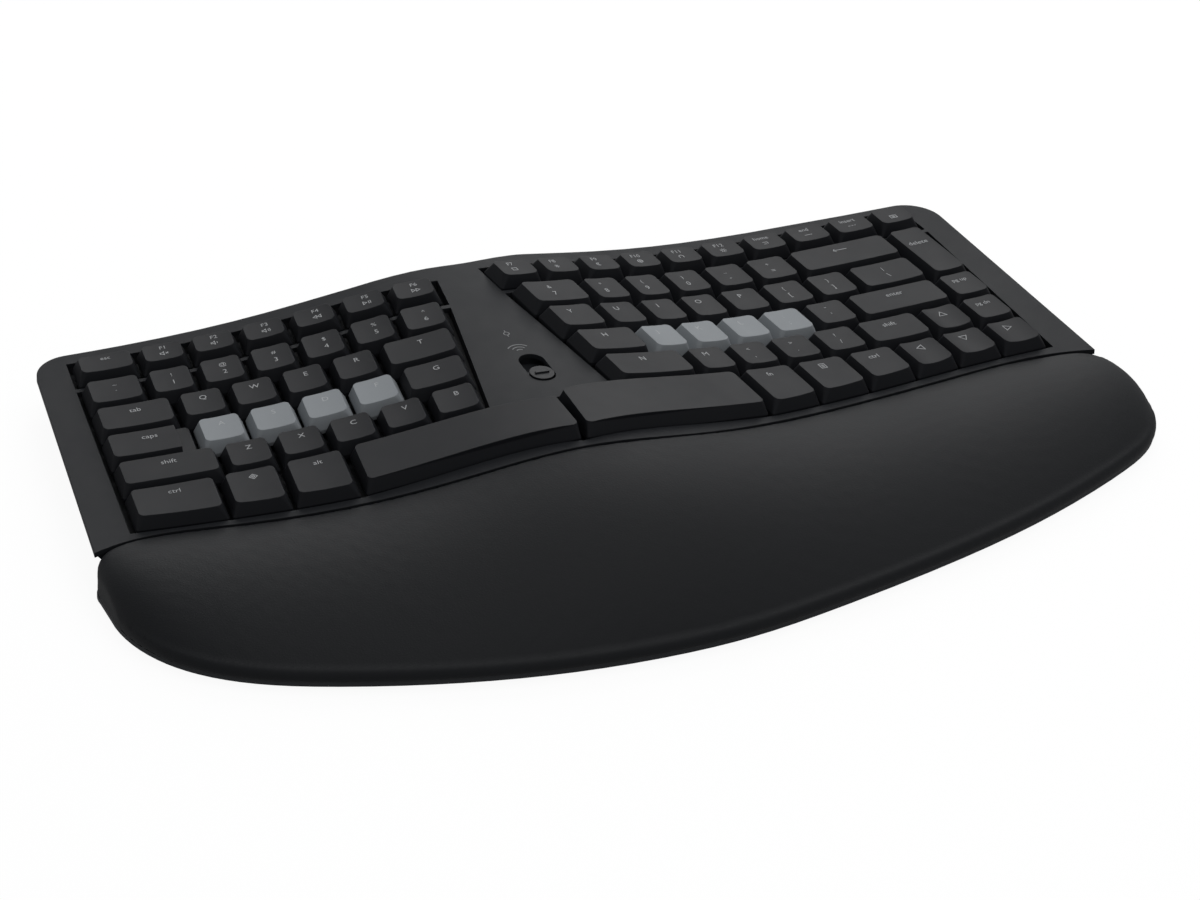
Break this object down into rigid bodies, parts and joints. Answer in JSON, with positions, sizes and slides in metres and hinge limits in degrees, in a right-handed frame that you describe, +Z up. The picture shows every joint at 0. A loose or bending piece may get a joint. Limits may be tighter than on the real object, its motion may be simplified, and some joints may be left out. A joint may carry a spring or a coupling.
{
  "type": "split ergonomic keyboard",
  "caption": "Wireless split ergonomic keyboard: two splayed key blocks on a raised, curved deck, with a cushioned palm rest, switch sheets, shells, cells and folding feet.",
  "frame": {"origin": "middle of the footprint, on the desk under the rubber feet", "axes": "+X along the width to the user's right, +Y away from the user, +Z up"},
  "size_m": [0.415, 0.2476, 0.0441],
  "materials": {
    "charcoal_plastic": "fine matte texture",
    "key_plastic": "smooth matte",
    "home_key_plastic": "smooth matte",
    "palm_fabric": "soft matte with fine grain",
    "base_plastic": "matte",
    "clear_sheet": "thin film",
    "silicone": "soft",
    "steel_sheet": "plain",
    "board_green": "solder mask",
    "cell_jacket": "smooth",
    "foot_rubber": "matte",
    "screw_steel": "plain"
  },
  "bodies": {
    "case": {"top_case": "charcoal_plastic", "bottom_case": "charcoal_plastic", "palm_carrier": "base_plastic", "palm_pad": "palm_fabric", "key_guide_left": "base_plastic", "key_guide_right": "base_plastic", "dome_sheet": "silicone", "membrane_sheet": "clear_sheet", "backing_plate": "steel_sheet", "controller_board": "board_green", "ribbon_cable": "clear_sheet", "mode_switch_body": "charcoal_plastic", "batteries": "cell_jacket", "battery_contacts": "steel_sheet", "rubber_feet": "foot_rubber", "case_screws": "screw_steel"},
    "mode_switch_slider": {"mode_switch_slider": "charcoal_plastic"},
    "battery_door": {"battery_door": "charcoal_plastic"},
    "tilt_foot_left": {"tilt_foot_left": "charcoal_plastic"},
    "tilt_foot_right": {"tilt_foot_right": "charcoal_plastic"},
    "a_key": {"a_key": "home_key_plastic"},
    "arrow_keys": {"arrow_keys": "key_plastic"},
    "b_key": {"b_key": "key_plastic"},
    "backspace_key": {"backspace_key": "key_plastic"},
    "c_key": {"c_key": "key_plastic"},
    "caps_lock_key": {"caps_lock_key": "key_plastic"},
    "d_key": {"d_key": "home_key_plastic"},
    "e_key": {"e_key": "key_plastic"},
    "enter_key": {"enter_key": "key_plastic"},
    "f_key": {"f_key": "home_key_plastic"},
    "function_keys_left": {"function_keys_left": "key_plastic"},
    "function_keys_right": {"function_keys_right": "key_plastic"},
    "g_key": {"g_key": "key_plastic"},
    "h_key": {"h_key": "key_plastic"},
    "i_key": {"i_key": "key_plastic"},
    "j_key": {"j_key": "home_key_plastic"},
    "k_key": {"k_key": "home_key_plastic"},
    "l_key": {"l_key": "home_key_plastic"},
    "left_space_bar": {"left_space_bar": "key_plastic"},
    "m_key": {"m_key": "key_plastic"},
    "modifier_keys_left": {"modifier_keys_left": "key_plastic"},
    "modifier_keys_right": {"modifier_keys_right": "key_plastic"},
    "n_key": {"n_key": "key_plastic"},
    "navigation_keys": {"navigation_keys": "key_plastic"},
    "number_keys_left": {"number_keys_left": "key_plastic"},
    "number_keys_right": {"number_keys_right": "key_plastic"},
    "o_key": {"o_key": "key_plastic"},
    "p_key": {"p_key": "key_plastic"},
    "punctuation_keys": {"punctuation_keys": "key_plastic"},
    "q_key": {"q_key": "key_plastic"},
    "r_key": {"r_key": "key_plastic"},
    "right_space_bar": {"right_space_bar": "key_plastic"},
    "s_key": {"s_key": "home_key_plastic"},
    "t_key": {"t_key": "key_plastic"},
    "u_key": {"u_key": "key_plastic"},
    "v_key": {"v_key": "key_plastic"},
    "w_key": {"w_key": "key_plastic"},
    "x_key": {"x_key": "key_plastic"},
    "y_key": {"y_key": "key_plastic"},
    "z_key": {"z_key": "key_plastic"}
  },
  "joints": [
    {"name": "a_key_press", "type": "slide", "parent": "case", "child": "a_key", "axis": [0.1051, 0, -0.9945], "range_m": [0, 0.003], "stiffness_N_per_m": 200, "springref_m": -0.0015, "deforming": ["dome_sheet"]},
    {"name": "arrow_keys_press", "type": "slide", "parent": "case", "child": "arrow_keys", "axis": [-0.0407, 0, -0.9992], "range_m": [0, 0.003], "stiffness_N_per_m": 800, "springref_m": -0.0015, "deforming": ["dome_sheet"]},
    {"name": "b_key_press", "type": "slide", "parent": "case", "child": "b_key", "axis": [0.188, 0, -0.9822], "range_m": [0, 0.003], "stiffness_N_per_m": 200, "springref_m": -0.0015, "deforming": ["dome_sheet"]},
    {"name": "backspace_key_press", "type": "slide", "parent": "case", "child": "backspace_key", "axis": [-0.051, 0, -0.9987], "range_m": [0, 0.003], "stiffness_N_per_m": 200, "springref_m": -0.0015, "deforming": ["dome_sheet"]},
    {"name": "c_key_press", "type": "slide", "parent": "case", "child": "c_key", "axis": [0.1798, 0, -0.9837], "range_m": [0, 0.003], "stiffness_N_per_m": 200, "springref_m": -0.0015, "deforming": ["dome_sheet"]},
    {"name": "caps_lock_key_press", "type": "slide", "parent": "case", "child": "caps_lock_key", "axis": [0.0719, 0, -0.9974], "range_m": [0, 0.003], "stiffness_N_per_m": 200, "springref_m": -0.0015, "deforming": ["dome_sheet"]},
    {"name": "d_key_press", "type": "slide", "parent": "case", "child": "d_key", "axis": [0.1735, 0, -0.9848], "range_m": [0, 0.003], "stiffness_N_per_m": 200, "springref_m": -0.0015, "deforming": ["dome_sheet"]},
    {"name": "e_key_press", "type": "slide", "parent": "case", "child": "e_key", "axis": [0.1728, 0, -0.985], "range_m": [0, 0.003], "stiffness_N_per_m": 200, "springref_m": -0.0015, "deforming": ["dome_sheet"]},
    {"name": "enter_key_press", "type": "slide", "parent": "case", "child": "enter_key", "axis": [-0.0474, 0, -0.9989], "range_m": [0, 0.003], "stiffness_N_per_m": 200, "springref_m": -0.0015, "deforming": ["dome_sheet"]},
    {"name": "f_key_press", "type": "slide", "parent": "case", "child": "f_key", "axis": [0.2018, 0, -0.9794], "range_m": [0, 0.003], "stiffness_N_per_m": 200, "springref_m": -0.0015, "deforming": ["dome_sheet"]},
    {"name": "function_keys_left_press", "type": "slide", "parent": "case", "child": "function_keys_left", "axis": [0.145, 0, -0.9894], "range_m": [0, 0.003], "stiffness_N_per_m": 1400, "springref_m": -0.0015, "deforming": ["dome_sheet"]},
    {"name": "function_keys_right_press", "type": "slide", "parent": "case", "child": "function_keys_right", "axis": [-0.1575, 0, -0.9875], "range_m": [0, 0.003], "stiffness_N_per_m": 1200, "springref_m": -0.0015, "deforming": ["dome_sheet"]},
    {"name": "g_key_press", "type": "slide", "parent": "case", "child": "g_key", "axis": [0.1883, 0, -0.9821], "range_m": [0, 0.003], "stiffness_N_per_m": 200, "springref_m": -0.0015, "deforming": ["dome_sheet"]},
    {"name": "h_key_press", "type": "slide", "parent": "case", "child": "h_key", "axis": [-0.2028, 0, -0.9792], "range_m": [0, 0.003], "stiffness_N_per_m": 200, "springref_m": -0.0015, "deforming": ["dome_sheet"]},
    {"name": "i_key_press", "type": "slide", "parent": "case", "child": "i_key", "axis": [-0.175, 0, -0.9846], "range_m": [0, 0.003], "stiffness_N_per_m": 200, "springref_m": -0.0015, "deforming": ["dome_sheet"]},
    {"name": "j_key_press", "type": "slide", "parent": "case", "child": "j_key", "axis": [-0.1906, 0, -0.9817], "range_m": [0, 0.003], "stiffness_N_per_m": 200, "springref_m": -0.0015, "deforming": ["dome_sheet"]},
    {"name": "k_key_press", "type": "slide", "parent": "case", "child": "k_key", "axis": [-0.1581, 0, -0.9874], "range_m": [0, 0.003], "stiffness_N_per_m": 200, "springref_m": -0.0015, "deforming": ["dome_sheet"]},
    {"name": "l_key_press", "type": "slide", "parent": "case", "child": "l_key", "axis": [-0.1239, 0, -0.9923], "range_m": [0, 0.003], "stiffness_N_per_m": 200, "springref_m": -0.0015, "deforming": ["dome_sheet"]},
    {"name": "left_space_bar_press", "type": "slide", "parent": "case", "child": "left_space_bar", "axis": [0.1606, 0, -0.987], "range_m": [0, 0.003], "stiffness_N_per_m": 200, "springref_m": -0.0015, "deforming": ["dome_sheet"]},
    {"name": "m_key_press", "type": "slide", "parent": "case", "child": "m_key", "axis": [-0.1698, 0, -0.9855], "range_m": [0, 0.003], "stiffness_N_per_m": 200, "springref_m": -0.0015, "deforming": ["dome_sheet"]},
    {"name": "modifier_keys_left_press", "type": "slide", "parent": "case", "child": "modifier_keys_left", "axis": [0.0917, 0, -0.9958], "range_m": [0, 0.003], "stiffness_N_per_m": 1000, "springref_m": -0.0015, "deforming": ["dome_sheet"]},
    {"name": "modifier_keys_right_press", "type": "slide", "parent": "case", "child": "modifier_keys_right", "axis": [-0.0887, 0, -0.9961], "range_m": [0, 0.003], "stiffness_N_per_m": 800, "springref_m": -0.0015, "deforming": ["dome_sheet"]},
    {"name": "n_key_press", "type": "slide", "parent": "case", "child": "n_key", "axis": [-0.2054, 0, -0.9787], "range_m": [0, 0.003], "stiffness_N_per_m": 200, "springref_m": -0.0015, "deforming": ["dome_sheet"]},
    {"name": "navigation_keys_press", "type": "slide", "parent": "case", "child": "navigation_keys", "axis": [-0.0427, 0, -0.9991], "range_m": [0, 0.003], "stiffness_N_per_m": 1400, "springref_m": -0.0015, "deforming": ["dome_sheet"]},
    {"name": "number_keys_left_press", "type": "slide", "parent": "case", "child": "number_keys_left", "axis": [0.1448, 0, -0.9895], "range_m": [0, 0.003], "stiffness_N_per_m": 1400, "springref_m": -0.0015, "deforming": ["dome_sheet"]},
    {"name": "number_keys_right_press", "type": "slide", "parent": "case", "child": "number_keys_right", "axis": [-0.1482, 0, -0.989], "range_m": [0, 0.003], "stiffness_N_per_m": 1200, "springref_m": -0.0015, "deforming": ["dome_sheet"]},
    {"name": "o_key_press", "type": "slide", "parent": "case", "child": "o_key", "axis": [-0.1409, 0, -0.99], "range_m": [0, 0.003], "stiffness_N_per_m": 200, "springref_m": -0.0015, "deforming": ["dome_sheet"]},
    {"name": "p_key_press", "type": "slide", "parent": "case", "child": "p_key", "axis": [-0.1089, 0, -0.9941], "range_m": [0, 0.003], "stiffness_N_per_m": 200, "springref_m": -0.0015, "deforming": ["dome_sheet"]},
    {"name": "punctuation_keys_press", "type": "slide", "parent": "case", "child": "punctuation_keys", "axis": [-0.0838, 0, -0.9965], "range_m": [0, 0.003], "stiffness_N_per_m": 1600, "springref_m": -0.0015, "deforming": ["dome_sheet"]},
    {"name": "q_key_press", "type": "slide", "parent": "case", "child": "q_key", "axis": [0.1047, 0, -0.9945], "range_m": [0, 0.003], "stiffness_N_per_m": 200, "springref_m": -0.0015, "deforming": ["dome_sheet"]},
    {"name": "r_key_press", "type": "slide", "parent": "case", "child": "r_key", "axis": [0.2014, 0, -0.9795], "range_m": [0, 0.003], "stiffness_N_per_m": 200, "springref_m": -0.0015, "deforming": ["dome_sheet"]},
    {"name": "right_space_bar_press", "type": "slide", "parent": "case", "child": "right_space_bar", "axis": [-0.1641, 0, -0.9864], "range_m": [0, 0.003], "stiffness_N_per_m": 200, "springref_m": -0.0015, "deforming": ["dome_sheet"]},
    {"name": "s_key_press", "type": "slide", "parent": "case", "child": "s_key", "axis": [0.1374, 0, -0.9905], "range_m": [0, 0.003], "stiffness_N_per_m": 200, "springref_m": -0.0015, "deforming": ["dome_sheet"]},
    {"name": "t_key_press", "type": "slide", "parent": "case", "child": "t_key", "axis": [0.1849, 0, -0.9828], "range_m": [0, 0.003], "stiffness_N_per_m": 200, "springref_m": -0.0015, "deforming": ["dome_sheet"]},
    {"name": "u_key_press", "type": "slide", "parent": "case", "child": "u_key", "axis": [-0.2018, 0, -0.9794], "range_m": [0, 0.003], "stiffness_N_per_m": 200, "springref_m": -0.0015, "deforming": ["dome_sheet"]},
    {"name": "v_key_press", "type": "slide", "parent": "case", "child": "v_key", "axis": [0.2043, 0, -0.9789], "range_m": [0, 0.003], "stiffness_N_per_m": 200, "springref_m": -0.0015, "deforming": ["dome_sheet"]},
    {"name": "w_key_press", "type": "slide", "parent": "case", "child": "w_key", "axis": [0.1368, 0, -0.9906], "range_m": [0, 0.003], "stiffness_N_per_m": 200, "springref_m": -0.0015, "deforming": ["dome_sheet"]},
    {"name": "x_key_press", "type": "slide", "parent": "case", "child": "x_key", "axis": [0.1439, 0, -0.9896], "range_m": [0, 0.003], "stiffness_N_per_m": 200, "springref_m": -0.0015, "deforming": ["dome_sheet"]},
    {"name": "y_key_press", "type": "slide", "parent": "case", "child": "y_key", "axis": [-0.1933, 0, -0.9811], "range_m": [0, 0.003], "stiffness_N_per_m": 200, "springref_m": -0.0015, "deforming": ["dome_sheet"]},
    {"name": "z_key_press", "type": "slide", "parent": "case", "child": "z_key", "axis": [0.1102, 0, -0.9939], "range_m": [0, 0.003], "stiffness_N_per_m": 200, "springref_m": -0.0015, "deforming": ["dome_sheet"]},
    {"name": "mode_switch_slide", "type": "slide", "parent": "case", "child": "mode_switch_slider", "axis": [0, 1, 0], "range_m": [0, 0.009]},
    {"name": "battery_door_lift", "type": "slide", "parent": "case", "child": "battery_door", "axis": [0, 0, -1], "range_m": [0, 0.02]},
    {"name": "tilt_foot_left_hinge", "type": "hinge", "parent": "case", "child": "tilt_foot_left", "pos_m": [-0.1373, 0.0899, 0.0036], "axis": [-1, 0, 0], "range_deg": [0, 90]},
    {"name": "tilt_foot_right_hinge", "type": "hinge", "parent": "case", "child": "tilt_foot_right", "pos_m": [0.0932, 0.09371, 0.0036], "axis": [-1, 0, 0], "range_deg": [0, 90]}
  ]
}
